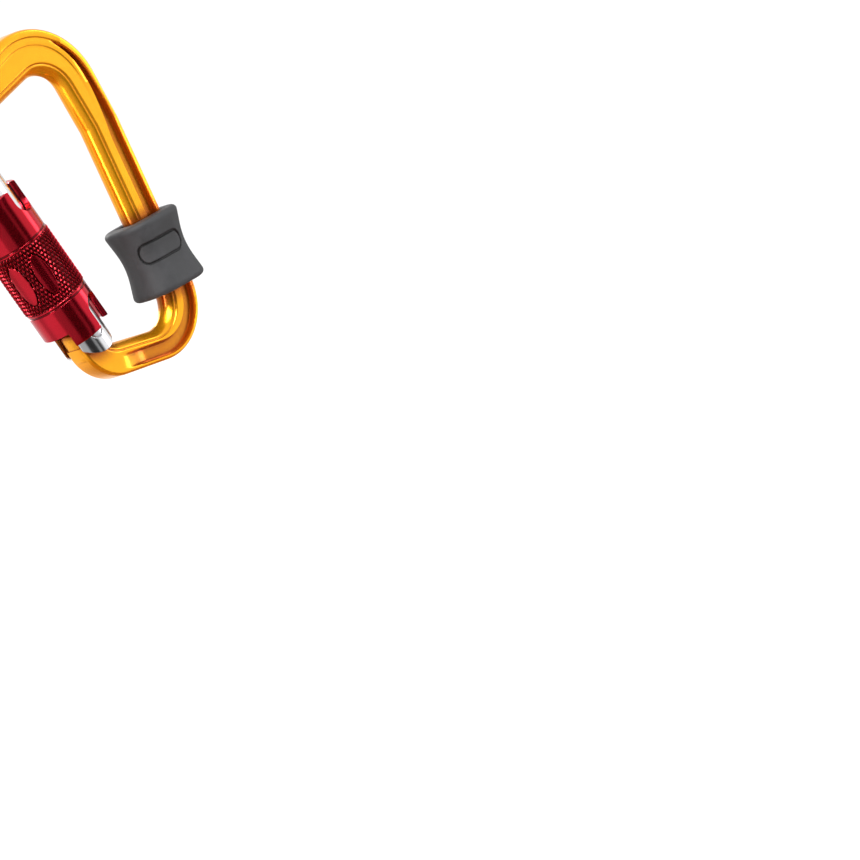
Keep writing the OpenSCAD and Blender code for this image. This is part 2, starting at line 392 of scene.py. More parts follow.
def lathe(name, profile, place, around):
    """Solid of revolution; the (radius, along) profile runs from axis to axis."""
    turns = np.linspace(0, 2 * math.pi, around, endpoint=False)
    rings = profile[1:-1]
    points = [(r * math.cos(a), r * math.sin(a), t) for r, t in rings for a in turns]
    points += [(0.0, 0.0, profile[0][1]), (0.0, 0.0, profile[-1][1])]
    faces = grid_faces(len(rings), around, wrap_cols=True)
    first, last = len(points) - 2, len(points) - 1
    top = (len(rings) - 1) * around
    for j in range(around):
        faces.append((first, (j + 1) % around, j))
        faces.append((last, top + j, top + (j + 1) % around))
    return new_object(name, to_world(place(points)), faces)


# ---------------------------------------------------------------- outlines made of discs and tangents
def tangent_normal(a, b):
    """Outward normal of the tangent from disc a to disc b, going anticlockwise."""
    d = np.array([b[0] - a[0], b[1] - a[1]])
    length = np.linalg.norm(d)
    u = d / length
    s = (a[2] - b[2]) / length
    c = math.sqrt(1 - s * s)
    return np.array([u[1] * c + u[0] * s, u[1] * s - u[0] * c])


def disc_arc(discs, i, count):
    """Points round disc i from its first tangent to its second."""
    disc = discs[i]
    before = tangent_normal(discs[i - 1], disc)
    after = tangent_normal(disc, discs[(i + 1) % len(discs)])
    start = math.atan2(before[1], before[0])
    sweep = (math.atan2(after[1], after[0]) - start) % (2 * math.pi)
    return np.array(disc[:2]) + arc(disc[2], start, start + sweep, count)


def outline_loop(discs, count=40):
    """The whole outline, anticlockwise."""
    return np.concatenate([disc_arc(discs, i, count) for i in range(len(discs))])


def distance_to(points, loop):
    """Distance of each point to a closed polyline."""
    best = np.full(len(points), np.inf)
    for a, b in zip(loop, np.roll(loop, -1, 0)):
        d = b - a
        length = d @ d
        if length < 1e-12:
            continue
        u = np.clip(((points - a) @ d) / length, 0, 1)
        gap = points - a - u[:, None] * d
        best = np.minimum(best, np.hypot(gap[:, 0], gap[:, 1]))
    return best


def run_along(line):
    """Length of a polyline up to each of its points."""
    return np.concatenate([[0], np.cumsum(np.linalg.norm(np.diff(line, axis=0), axis=1))])


def resample(line, count):
    """count points evenly along a polyline."""
    run = run_along(line)
    where = np.linspace(0, run[-1], count)
    return np.stack([np.interp(where, run, line[:, k]) for k in range(2)], 1)


def clip_line(line, value, keep_end):
    """The part of a polyline where value >= 0: from its first crossing on, or up to it."""
    inside = value >= 0
    k = int(np.argmax(inside if keep_end else ~inside))
    if k == 0:
        return line
    share = value[k - 1] / (value[k - 1] - value[k])
    cross = line[k - 1] + share * (line[k] - line[k - 1])
    return np.concatenate(([cross], line[k:]) if keep_end else (line[:k], [cross]))


# ---------------------------------------------------------------- forged body
def from_hinge(inner, outer):
    """Starts the body's two first arcs clear of the gate's ears, the outer one with the side before it."""
    side = np.linspace(disc_arc(OUTER_DISCS, -1, 2)[-1], outer[0], RAIL_DENSE)
    outer = np.concatenate([side[:-1], outer])
    clear = np.minimum(CHANNEL_LOW - gate_along(outer), hinge_gap(outer, EAR_CLEAR_R))
    return clip_line(inner, hinge_gap(inner, EAR_CLEAR_R), True), clip_line(outer, clear, True)


def to_nose(line, discs):
    """Runs an outline's last arc on along the gate's side, and ends it at the nose's end face."""
    side = np.linspace(line[-1], disc_arc(discs, 0, 2)[0], RAIL_DENSE)
    line = np.concatenate([line[:-1], side])
    return clip_line(line, hinge_gap(line, NOSE_R), False)


def body_rails():
    """Paired points on the window's and the outer outline, from the hinge end to the nose."""
    last = len(OUTER_DISCS) - 1
    parts = []
    for i in range(last + 1):
        inner = disc_arc(WINDOW_DISCS, i, RAIL_DENSE)
        outer = disc_arc(OUTER_DISCS, i, RAIL_DENSE)
        if i == 0:
            inner, outer = from_hinge(inner, outer)
        if i == last:
            inner, outer = to_nose(inner, WINDOW_DISCS), to_nose(outer, OUTER_DISCS)
        parts.append((inner, outer))
        if i < last:
            straight_in = np.array([inner[-1], disc_arc(WINDOW_DISCS, i + 1, 2)[0]])
            straight_out = np.array([outer[-1], disc_arc(OUTER_DISCS, i + 1, 2)[0]])
            parts.append((straight_in, straight_out))
    rails = [[], []]
    for pair in parts:
        count = max(4, math.ceil(run_along(pair[1])[-1] / STATION_STEP) + 1)
        for rail, line in zip(rails, pair):
            rail.append(resample(line, count)[:-1])
    return [np.concatenate(rail + [line[-1:]]) for rail, line in zip(rails, parts[-1])]


def crowd_ends(rail):
    """Adds stations close to both ends, so that the end edges can be rounded."""
    head = rail[0] + END_SHARES[:, None] * (rail[1] - rail[0])
    tail = rail[-1] + END_SHARES[::-1, None] * (rail[-2] - rail[-1])
    return np.concatenate([head, rail[1:-1], tail])


def end_curves(inner, outer, count):
    """The body's two end lines: round the gate's ears, and along the gate's end face."""
    start = math.atan2(inner[0][1], inner[0][0])
    stop = math.atan2(outer[0][1], outer[0][0])
    ear = arc(EAR_CLEAR_R, start, start - (start - stop) % (2 * math.pi), 60)
    hinge_end = resample(np.concatenate([ear, [outer[0]]]), count)
    start = math.atan2(inner[-1][1], inner[-1][0])
    stop = math.atan2(outer[-1][1], outer[-1][0])
    return hinge_end, resample(arc(NOSE_R, start, stop, 40), count)


def station_lines(share):
    """Lines across the body, from the window to the outer outline, with their height and gap to the nose."""
    inner, outer = [crowd_ends(rail) for rail in body_rails()]
    hinge_end, nose_end = end_curves(inner, outer, len(share))
    centre = (inner + outer) / 2
    run = run_along(centre)
    nose_gap = run[-1] - run
    lines = inner[:, None] * (1 - share)[:, None] + outer[:, None] * share[:, None]
    near_hinge = 1 - smoothstep(run, 0.0, END_BLEND)
    near_nose = 1 - smoothstep(nose_gap, 0.0, END_BLEND)
    lines = lines + near_hinge[:, None, None] * (hinge_end - lines[0])
    lines = lines + near_nose[:, None, None] * (nose_end - lines[-1])
    return lines, centre[:, 1], nose_gap


def recess_edges(z):
    """The recess's two edges, from the outer outline, at height z: it tapers into the top bend."""
    rim = FLANGE_OUT + RIM_GROWS * smoothstep(z, 48.0, 70.0)
    wide = RECESS_WIDE * (1 - 0.5 * smoothstep(z, 40.0, 60.0) - 0.25 * smoothstep(z, 60.0, 72.0))
    return float(rim), float(rim + wide)


def column_shares(d_in, d_out, edges, share):
    """Where the columns cross a station's line: crowded at the roundings, the crease and the recess."""
    nudge = 1e-9 * np.arange(len(share))
    rise = np.maximum.accumulate(d_in)
    fall = np.maximum.accumulate(d_out[::-1])[::-1]
    rim, far = edges
    marks = np.concatenate([far + BAND_MARKS, far - WALL_MARKS, rim + WALL_MARKS[::-1], OUTER_MARKS])
    v_in = np.interp(WINDOW_MARKS, rise + nudge, share)
    v_out = np.interp(-marks, nudge - fall, share)
    v_out[-1] = 1.0
    middle = np.linspace(v_in[-1], max(v_in[-1], v_out[0]), 8)[1:-1]
    v = np.sort(np.concatenate([v_in, middle, v_out]))
    for k in range(1, len(v)):
        v[k] = max(v[k], v[k - 1] + LEAST_GAP)
    return (v - v[0]) / (v[-1] - v[0])


def body_height(x, z, d_in, d_out, edges):
    """Half thickness of the forging at (x, z), d_in from the window and d_out from the outer outline."""
    end = 1 - INNER_ROUND / ROUND_LONG
    u = np.clip(1 - d_in / ROUND_LONG, end, 1)
    height = HALF_T * np.sqrt((1 - u * u) / (1 - end * end))
    height = height - CREASE_DEEP * np.exp(-((d_in - INNER_ROUND) / CREASE_WIDE) ** 2)
    v = np.clip(1 - d_out / OUTER_ROUND, 0, 1)
    height = height - OUTER_DROP * (1 - np.sqrt(1 - v * v))
    rim, far = edges
    upper = smoothstep(z, *TOP_RULES_Z)
    fade = smoothstep(x, *RECESS_LOW_X) * (1 - upper) + smoothstep(x, *RECESS_TOP_X) * upper
    recess = smoothstep(d_out, rim, rim + WALL) * (1 - smoothstep(d_out, far - WALL, far))
    recess = RECESS_DEEP * recess * fade * smoothstep(np.hypot(x, z), *RECESS_HINGE_R)
    step = STEP_DEEP * smoothstep(d_out, rim, rim + STEP_WIDE)
    band = BAND_DEEP * smoothstep(d_out, far + BAND_EDGE[0], far + BAND_EDGE[1])
    relief = (step + band) * smoothstep(z, *RELIEF_Z) * smoothstep(x, *RELIEF_X)
    return np.minimum(height - np.maximum(recess, relief), HALF_T)


def end_share(gap):
    """Share of the height that is left at `gap` from the nose's end, where the edge is rounded."""
    near = max(END_EDGE - gap, 0.0)
    return 1 - (END_EDGE - math.sqrt(END_EDGE ** 2 - near ** 2)) / HALF_T


def cap_faces(base, across):
    """Closes one end of the body's grid, pairing the points of its two faces."""
    ring = 2 * across - 1
    faces = []
    for k in range(across - 1):
        front, next_front = base + k, base + k + 1
        back, next_back = base + (ring - k) % ring, base + ring - k - 1
        faces.append((front, back, next_back, next_front) if k else (front, next_back, next_front))
    return faces


def body_shell():
    """The forging as one closed grid: both faces, the rounded edges and the two ends."""
    share = np.linspace(0, 1, ACROSS_DENSE)
    lines, level, nose_gap = station_lines(share)
    flat = lines.reshape(-1, 2)
    d_in = distance_to(flat, outline_loop(WINDOW_DISCS)).reshape(lines.shape[:2])
    d_out = distance_to(flat, outline_loop(OUTER_DISCS)).reshape(lines.shape[:2])
    d_in[:, 0] = 0.0
    d_out[:, -1] = 0.0
    rings = []
    for s, line in enumerate(lines):
        edges = recess_edges(level[s])
        v = column_shares(d_in[s], d_out[s], edges, share)
        x, z, gap_in, gap_out = [np.interp(v, share, row) for row in (*line.T, d_in[s], d_out[s])]
        height = body_height(x, z, gap_in, gap_out, edges) * end_share(nose_gap[s])
        front = np.stack([x, -height, z], 1)
        back = np.stack([x, height, z], 1)
        rings.append(np.concatenate([front, back[:0:-1]]))
    stations, ring = len(rings), len(rings[0])
    across = (ring + 1) // 2
    faces = grid_faces(stations, ring, wrap_cols=True)
    faces += cap_faces(0, across) + cap_faces((stations - 1) * ring, across)
    return new_object("forged_body", to_world(np.concatenate(rings)), faces)


def key_sweep(name, grow, reach, opening, turns, steps):
    """A bulb with a neck out to radius `reach`, swept about the hinge; turns are in degrees from the gate."""
    neck = KEY_NECK + grow
    bulb = arc(KEY_R + grow, math.radians(opening), math.radians(360 - opening), steps[0]) + [KEY_AT, 0]
    section = [(reach, -neck), (reach, neck)] + [tuple(point) for point in bulb]
    points = []
    for turn in GATE_LEAN + np.radians(np.linspace(*turns, steps[1])):
        points += [(r * math.cos(turn), y, r * math.sin(turn)) for r, y in section]
    return new_object(name, to_world(points), tube_faces(steps[1], len(section)))


def pin_tool(radius, low=-TOOL_REACH, high=TOOL_REACH):
    """A cylinder on the hinge's axis, to cut its hole or a head's seat."""
    circle = arc(radius, 0, 2 * math.pi, 49)[:-1]
    return prism("pin_tool", circle, low, high, across_body)


def forged_body():
    """The gold body: the forging with its hinge tang, nose key and rivet hole."""
    body = body_shell()
    tang = outline_loop(TANG_DISCS, 14)
    key_turns = (-KEY_HALF_ANGLE, KEY_HALF_ANGLE)
    boolean(body, prism("tang", tang, -TANG_HALF, TANG_HALF, across_body, TANG_EDGE), "UNION")
    boolean(body, key_sweep("nose_key", 0.0, NOSE_R + 1.5, 33, key_turns, (30, 14)), "UNION")
    boolean(body, pin_tool(PIN_R + PIN_CLEAR), "DIFFERENCE", 38.0)
    return body


# ---------------------------------------------------------------- gate and rivet
def gate_outline():
    """Side outline of the gate: end face about the hinge, straight sides, round ears."""
    half = math.asin((GATE_R + 1) / GATE_LEN)
    end_face = arc(GATE_LEN, GATE_LEAN - half, GATE_LEAN + half, 24)
    ears = arc(EAR_R, GATE_LEAN + math.pi / 2, GATE_LEAN + 3 * math.pi / 2, 36)
    side = np.array([GATE_SIDE[0], GATE_SIDE[2]])
    up = np.array([GATE_UP[0], GATE_UP[2]])
    wide, narrow = (GATE_R + 1) * side, EAR_R * side
    wide_low, narrow_low = (EAR_TOP + 0.1) * up, EAR_TOP * up
    left = [wide_low - wide, narrow_low - narrow]
    right = [narrow_low + narrow, wide_low + wide]
    return np.concatenate([end_face, left, ears, right])


def gate():
    """The bright gate: foot with two ears, slim shank, thick upper end with the key's slot."""
    profile = [(0, FOOT_LOW), (FOOT_R, FOOT_LOW), (FOOT_R, FOOT_TOP - 0.3), (FOOT_R - 0.3, FOOT_TOP)]
    profile += [(SHANK_R, FOOT_TOP), (SHANK_R, HEAD_LOW), (GATE_R - 0.4, HEAD_LOW), (GATE_R, HEAD_LOW + 0.4)]
    profile += [(GATE_R, GATE_LEN + 2), (0, GATE_LEN + 2)]
    body = lathe("gate_shown", profile, on_gate, 128)
    slot = [(-10, FOOT_LOW - 1), (10, FOOT_LOW - 1), (10, SLOT_ROOF), (-10, SLOT_ROOF)]
    slot_turns = (-KEY_HALF_ANGLE - 0.2, 3 * KEY_HALF_ANGLE)
    seat = HEAD_R + HEAD_CLEAR
    boolean(body, prism("outline", gate_outline(), -9.0, 9.0, across_body), "INTERSECT")
    boolean(body, prism("slot", slot, -SLOT_HALF, SLOT_HALF, across_gate), "DIFFERENCE")
    boolean(body, key_sweep("key_slot", KEY_CLEAR, GATE_LEN + 2, 36, slot_turns, (28, 16)), "DIFFERENCE")
    boolean(body, pin_tool(seat, HEAD_SEAT, TOOL_REACH), "DIFFERENCE")
    boolean(body, pin_tool(seat, -TOOL_REACH, -HEAD_SEAT), "DIFFERENCE")
    boolean(body, pin_tool(PIN_R), "DIFFERENCE", 30.0)
    return body


def rivet():
    """The hinge rivet with low domed heads, sunk into the ears."""
    head = HEAD_SEAT + HEAD_PROUD
    half = [(0.0, head + HEAD_DOME)]
    half += [(HEAD_R * math.sin(a), head + HEAD_DOME * math.cos(a)) for a in np.radians([20, 40, 60, 75, 90])]
    half += [(PIN_R, head - 0.1)]
    return lathe("domed_rivet", half + [(r, -y) for r, y in reversed(half)], about_hinge, 48)


# ---------------------------------------------------------------- locking sleeve
def knurl_radius(turn, along):
    """Radius of the knurled band: diamond points, and smooth oval pads set into them."""
    a = turn * DIAMONDS / (2 * math.pi) + along / DIAMOND_T / 2
    b = turn * DIAMONDS / (2 * math.pi) - along / DIAMOND_T / 2
    valley = np.maximum(np.abs(a - np.round(a)), np.abs(b - np.round(b)))
    radius = KNURL_R - DIAMOND_DEEP * (1 - np.clip((1 - 2 * valley) / 0.8, 0, 1))
    middle = (KNURL_LOW + KNURL_HIGH) / 2
    off = np.full_like(turn, math.pi)
    for at in PAD_TURNS:
        gap = turn - math.radians(at)
        off = np.minimum(off, np.abs(gap - 2 * math.pi * np.round(gap / (2 * math.pi))))
    oval = np.sqrt((off * KNURL_R / PAD_HALF_W) ** 2 + ((along - middle) / PAD_HALF_H) ** 2)
    inside = 1 - smoothstep(oval, 0.98, 1.02)
    pad = KNURL_R - PAD_SUNK - PAD_CROWN * oval ** 2
    moat = MOAT_DEEP * np.exp(-((oval - MOAT_AT) / MOAT_WIDE) ** 2)
    return (radius - moat) * (1 - inside) + pad * inside


def groove_rows(at):
    """Rows of a round groove in the sleeve's outside."""
    angles = np.radians(range(-90, 91, 22))
    return [(at + GROOVE_R * math.sin(a), COLLAR_R - GROOVE_R * math.cos(a)) for a in angles]


def sleeve_rows():
    """Rows of the sleeve's closed section: (along, radius), with None for the knurl's radius."""
    edge = [(RIM_ROUND * (1 - math.cos(a)), RIM_ROUND * (1 - math.sin(a))) for a in np.radians([0, 30, 60, 90])]
    count = round((KNURL_HIGH - KNURL_LOW) * ROWS_PER_DIAMOND / DIAMOND_T)
    rows = [(LOBE_LOW + 0.25, BORE_R), (LOBE_LOW, BORE_R + 0.25)]
    rows += [(LOBE_LOW + rise, COLLAR_R - inset) for rise, inset in edge]
    rows += [(along, COLLAR_R) for along in (2.0, 5.0, 8.0)]
    rows += groove_rows(KNURL_LOW - 1.0)
    rows += [(KNURL_LOW - 0.35, COLLAR_R), (KNURL_LOW - 0.15, COLLAR_R - 0.15)]
    rows += [(along, None) for along in np.linspace(KNURL_LOW, KNURL_HIGH, count + 1)]
    rows += [(KNURL_HIGH + 0.15, COLLAR_R - 0.15), (KNURL_HIGH + 0.35, COLLAR_R)]
    rows += groove_rows(KNURL_HIGH + 1.0)
    rows += [(along, COLLAR_R) for along in (33.0, 36.0, 39.0, 42.0)]
    rows += [(SLEEVE_TOP - rise, COLLAR_R - inset) for rise, inset in reversed(edge)]
    rows += [(SLEEVE_TOP, BORE_R + 0.3), (SLEEVE_TOP - 0.3, BORE_R)]
    rows += [(along, BORE_R) for along in (36.0, 24.0, 12.0)]
    return rows


def sleeve_shell():
    """The sleeve as one closed grid, before its notches are cut."""
    turns = np.linspace(0, 2 * math.pi, AROUND, endpoint=False)
    rows = sleeve_rows()
    rings = []
    for along, radius in rows:
        r = knurl_radius(turns, along) if radius is None else np.full(AROUND, radius)
        rings.append(np.stack([r * np.cos(turns), r * np.sin(turns), np.full(AROUND, along)], 1))
    faces = grid_faces(len(rows), AROUND, wrap_rows=True, wrap_cols=True)
    return new_object("twist_sleeve", to_world(on_gate(np.concatenate(rings))), faces)


def notch_tool(bottom, mouth):
    """A U-shaped cutter with a round bottom, facing the notches' side."""
    half = NOTCH_W / 2
    sign = 1 if mouth > bottom else -1
    round_bottom = arc(half, 0, math.pi, 25) * (1, -sign) + [0, bottom + sign * half]
    outline = np.concatenate([[(half, mouth)], round_bottom, [(-half, mouth)]])[::-sign]
    turn = math.radians(NOTCH_TURN)

    def place(points):
        """Outline across the notch and along the gate, at height h out from the gate's axis."""
        p, q, h = points.T
        x = h * math.cos(turn) - p * math.sin(turn)
        y = h * math.sin(turn) + p * math.cos(turn)
        return on_gate(np.stack([x, y, q], 1))

    return prism("notch", outline, 3.0, 12.0, place)


def rim_gap_tool():
    """Cuts the lower rim back on the side of the hinge tang."""
    steps = 40
    section = [(6.0, LOBE_LOW - 2), (10.5, LOBE_LOW - 2), (10.5, SLEEVE_LOW), (6.0, SLEEVE_LOW)]
    points = []
    for turn in np.radians(np.linspace(LONG_RIM[1], 360 + LONG_RIM[0], steps)):
        points += [(r * math.cos(turn), r * math.sin(turn), t) for r, t in section]
    return new_object("gap", to_world(on_gate(points)), tube_faces(steps, len(section)))


def twist_sleeve():
    """The red sleeve: collars, knurl, stepped lower rim and two notches."""
    sleeve = sleeve_shell()
    boolean(sleeve, rim_gap_tool(), "DIFFERENCE")
    boolean(sleeve, notch_tool(SLEEVE_TOP - TOP_NOTCH, SLEEVE_TOP + 2), "DIFFERENCE")
    boolean(sleeve, notch_tool(LOBE_LOW + LOW_NOTCH, LOBE_LOW - 2), "DIFFERENCE", 30.0)
    return sleeve


# ---------------------------------------------------------------- rope keeper
def lip_inset(h):
    """How far the rolled lip is drawn in at distance h from its end."""
    near = max(LIP_R - h, 0.0)
    return LIP_R - math.sqrt(LIP_R ** 2 - near ** 2)


def keeper_inset(h, height):
    """How far the outside is drawn in at height h above the foot."""
    share = h / height
    waist = KEEPER_WAIST * math.sin(math.pi * min(share, 1)) ** 1.4
    return waist + KEEPER_TAPER * (1 - share) + lip_inset(h) + lip_inset(height - h)


def rounded_plan(half_x, half_y, corner, count):
    """Even points round a rounded rectangle, with the outward normals."""
    flat_x, flat_y = half_x - corner, half_y - corner
    corners = [(flat_x, -flat_y), (flat_x, flat_y), (-flat_x, flat_y), (-flat_x, -flat_y)]
    normals = [arc(1.0, math.radians(a), math.radians(a + 90), 60) for a in (-90, 0, 90, 180)]
    line = np.concatenate([np.array(centre) + corner * normal for centre, normal in zip(corners, normals)])
    line = np.concatenate([line, line[:1]])
    normals = np.concatenate(normals + [normals[0][:1]])
    run = run_along(line)
    where = np.linspace(0, run[-1], count, endpoint=False)
    point = np.stack([np.interp(where, run, line[:, k]) for k in range(2)], 1)
    normal = np.stack([np.interp(where, run, normals[:, k]) for k in range(2)], 1)
    return point, unit(normal)


def badge_reach(plan):
    """Distance round the keeper of each plan point from the badge's middle, on the -Y face."""
    run = run_along(plan)
    girth = run[-1] + np.linalg.norm(plan[0] - plan[-1])
    start = run[np.argmin(np.abs(plan[:, 0] - BADGE_SHIFT) + np.where(plan[:, 1] < 0, 0, 99))]
    return (run - start + girth / 2) % girth - girth / 2


def badge_groove(reach, h):
    """Depth of the blank oval line at height h above the keeper's middle."""
    off = np.hypot(np.maximum(np.abs(reach) - (BADGE_HALF - BADGE_HIGH), 0), h - BADGE_LIFT)
    line = np.abs(off - BADGE_HIGH)
    return BADGE_DEEP * (1 - smoothstep(line, BADGE_LINE - BADGE_BLUR, BADGE_LINE + BADGE_BLUR))


def keeper_hole_rings(low_z, high_z):
    """Rings down the keeper's hole, flared at both ends, in row-frame mm."""
    half_x = (SPINE_OUTER - SPINE_INNER) / 2
    centre = np.array([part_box("frame_body")[1].x / MM - half_x, 0.0])
    hole, _ = rounded_plan(half_x + HOLE_CLEAR, HALF_T + HOLE_CLEAR, HOLE_CORNER, KEEPER_SIDES)
    outward = unit(hole)
    levels = [(out, high_z - down) for out, down in HOLE_FLARE]
    levels += [(out, low_z + down) for out, down in HOLE_FLARE[::-1]]
    return [at_level(hole + centre + outward * out, z) for out, z in levels]


def rope_keeper():
    """The dark rubber keeper: waisted, with rolled lips, a blank oval and a hole for the spine."""
    low, high = KEEPER_BOX
    low, high = np.array(low) / MM, np.array(high) / MM
    centre, half = (low + high)[:2] / 2, (high - low)[:2] / 2
    height = high[2] - low[2]
    plan, normal = rounded_plan(half[0], half[1], KEEPER_CORNER, KEEPER_SIDES)
    reach = badge_reach(plan)
    lip = LIP_R * (1 - np.cos(np.radians(np.linspace(0, 90, 8))))
    side = np.linspace(LIP_R, height - LIP_R, KEEPER_ROWS)[1:-1]
    rings = []
    for h in np.concatenate([lip, side, height - lip[::-1]]):
        inset = keeper_inset(h, height) + badge_groove(reach, h - height / 2)
        rings.append(at_level(plan - normal * inset[:, None] + centre, low[2] + h))
    rings += keeper_hole_rings(low[2], high[2])
    faces = grid_faces(len(rings), KEEPER_SIDES, wrap_rows=True, wrap_cols=True)
    return new_object("rubber_keeper", MM * np.concatenate(rings), faces, 40.0)


# ---------------------------------------------------------------- materials
def material(name, base, metallic, rough):
    """A principled material and its shader."""
    made = bpy.data.materials.new(name)
    made.use_nodes = True
    shader = made.node_tree.nodes["Principled BSDF"]
    shader.inputs["Base Color"].default_value = (*base, 1)
    shader.inputs["Metallic"].default_value = metallic
    shader.inputs["Roughness"].default_value = rough
    return made, shader


def noise(made, scale, detail, roughness):
    """Noise on the object's own coordinates."""
    nodes, links = made.node_tree.nodes, made.node_tree.links
    where = nodes.new("ShaderNodeTexCoord")
    tex = nodes.new("ShaderNodeTexNoise")
    for name, value in (("Scale", scale), ("Detail", detail), ("Roughness", roughness)):
        tex.inputs[name].default_value = value
    links.new(where.outputs["Object"], tex.inputs["Vector"])
    return tex.outputs["Fac"]


def remap(made, source, low, high, out_low=0.0, out_high=1.0):
    """Maps a socket's value from one range to another."""
    node = made.node_tree.nodes.new("ShaderNodeMapRange")
    for name, value in (("From Min", low), ("From Max", high), ("To Min", out_low), ("To Max", out_high)):
        node.inputs[name].default_value = value
    made.node_tree.links.new(source, node.inputs["Value"])
    return node.outputs["Result"]


def mix_colours(tree, factor, a, b, blend="MIX"):
    """Mixes two colours, each one a socket or a plain colour."""
    mix = tree.nodes.new("ShaderNodeMix")
    mix.data_type = "RGBA"
    mix.blend_type = blend
    for name, value in (("Factor", factor), ("A", a), ("B", b)):
        if isinstance(value, bpy.types.NodeSocket):
            tree.links.new(value, mix.inputs[name])
        else:
            mix.inputs[name].default_value = value
    return mix.outputs["Result"]


def tint(made, shader, factor, dark, light):
    """Base colour that drifts between two close tones."""
    tone = mix_colours(made.node_tree, factor, (*dark, 1), (*light, 1))
    made.node_tree.links.new(tone, shader.inputs["Base Color"])
    return tone


def paint_gap_shade(made, shader, tone, reach, gap_shade_colour):
    """Paints shade into the base colour: darkens it towards the given colour in gaps narrower than `reach`."""
    gaps = made.node_tree.nodes.new("ShaderNodeAmbientOcclusion")
    gaps.samples = 6
    gaps.inputs["Distance"].default_value = reach
    openness = remap(made, gaps.outputs["AO"], 0.7, 0.97)
    shadow = mix_colours(made.node_tree, openness, (*gap_shade_colour, 1), (1, 1, 1, 1))
    shaded = mix_colours(made.node_tree, 1.0, tone, shadow, "MULTIPLY")
    made.node_tree.links.new(shaded, shader.inputs["Base Color"])


def vary_roughness(made, shader, source, low, high):
    """Lets the roughness follow a noise, between two values."""
    made.node_tree.links.new(remap(made, source, 0.3, 0.7, low, high), shader.inputs["Roughness"])


def add_bump(made, shader, source, strength, distance, bevel=0.0):
    """Fine surface relief, over softened edges where asked."""
    nodes, links = made.node_tree.nodes, made.node_tree.links
    bump = nodes.new("ShaderNodeBump")
    bump.inputs["Strength"].default_value = strength
    bump.inputs["Distance"].default_value = distance
    links.new(source, bump.inputs["Height"])
    if bevel:
        soft = nodes.new("ShaderNodeBevel")
        soft.samples = 6
        soft.inputs["Radius"].default_value = bevel
        links.new(soft.outputs["Normal"], bump.inputs["Normal"])
    links.new(bump.outputs["Normal"], shader.inputs["Normal"])


def worn_metal(name, dark, light, rough, coat=0.0, bevel=0.0, metallic=1.0, gaps=0.0, gap_shade_colour=None):
    """Metal with drifting tone, uneven polish, fine grain and, where asked, painted shade in its gaps."""
    made, shader = material(name, light, metallic, rough)
    tone = tint(made, shader, remap(made, noise(made, 60.0, 3.0, 0.6), 0.35, 0.65), dark, light)
    # painted shade: the base colour darkens in narrow hollows, where shade falls
    if gaps:
        paint_gap_shade(made, shader, tone, gaps, gap_shade_colour)
    vary_roughness(made, shader, noise(made, 420.0, 4.0, 0.7), rough * 0.9, rough * 1.15)
    add_bump(made, shader, noise(made, 900.0, 4.0, 0.8), 0.04, 0.00004, bevel)
    shader.inputs["Coat Weight"].default_value = coat
    shader.inputs["Coat Roughness"].default_value = 0.12
    return made


def rubber():
    """Matt dark rubber with fine specks, a dusty drift and painted shade in its grooves."""
    made, shader = material("rubber", RUBBER_LIGHT, 0.0, 0.62)
    dust = noise(made, 160.0, 5.0, 0.7)
    tone = tint(made, shader, remap(made, dust, 0.35, 0.7), RUBBER_DARK, RUBBER_LIGHT)
    # painted shade: the base colour darkens in the blank oval's groove and other narrow hollows
    paint_gap_shade(made, shader, tone, RUBBER_SHADE_REACH, (0.05, 0.05, 0.05))
    vary_roughness(made, shader, dust, 0.55, 0.72)
    add_bump(made, shader, noise(made, 1700.0, 3.0, 0.7), 0.35, 0.00008)
    return made


def black_plastic():
    """Satin black plastic for the inner bushes."""
    made, shader = material("black", PLASTIC_LIGHT, 0.0, 0.45)
    drift = noise(made, 300.0, 4.0, 0.6)
    tint(made, shader, drift, PLASTIC_DARK, PLASTIC_LIGHT)
    vary_roughness(made, shader, drift, 0.38, 0.55)
    add_bump(made, shader, drift, 0.2, 0.00005)
    return made


def floor_material():
    """White floor with a faint unevenness."""
    made, shader = material("floor", (1.0, 1.0, 1.0), 0.0, 0.9)
    drift = noise(made, 6.0, 3.0, 0.5)
    vary_roughness(made, shader, drift, 0.7, 0.85)
    add_bump(made, shader, drift, 0.02, 0.0002)
    return made


# ---------------------------------------------------------------- pieces
def finish_piece(obj, made, body, replaced):
    """Material, body, slot and the CAD node that the piece stands for."""
    obj.data.materials.clear()
    obj.data.materials.append(made)
    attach(obj, body)
    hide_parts(replaced)


def repaint(node, made):
    """A kept CAD node takes a better material through its own slots."""
    obj = frame["nodes"][node]
    for slot in obj.material_slots:
        slot.material = made
    if not obj.material_slots:
        obj.data.materials.append(made)


def build_pieces():
    """The five shown pieces, and better materials on the CAD nodes inside."""
    metals = {name: worn_metal(name, **look) for name, look in METALS.items()}
    plastic = black_plastic()
    finish_piece(forged_body(), metals["gold"], "frame", "frame_body")
    finish_piece(gate(), metals["silver"], "gate_assembly", "gate")
    finish_piece(rivet(), metals["steel"], "gate_assembly", "hinge_pin")
    finish_piece(twist_sleeve(), metals["red"], "sleeve", "locking_sleeve")
    finish_piece(rope_keeper(), rubber(), "keeper", "rope_keeper")
    repaint("gate_plunger", metals["silver"])
    repaint("gate_spring", metals["wire"])
    repaint("sleeve_spring", metals["wire"])
    repaint("retaining_ring", metals["steel"])
    repaint("guide_pin", metals["steel"])
    repaint("lower_bush", plastic)
    repaint("guide_bush", plastic)


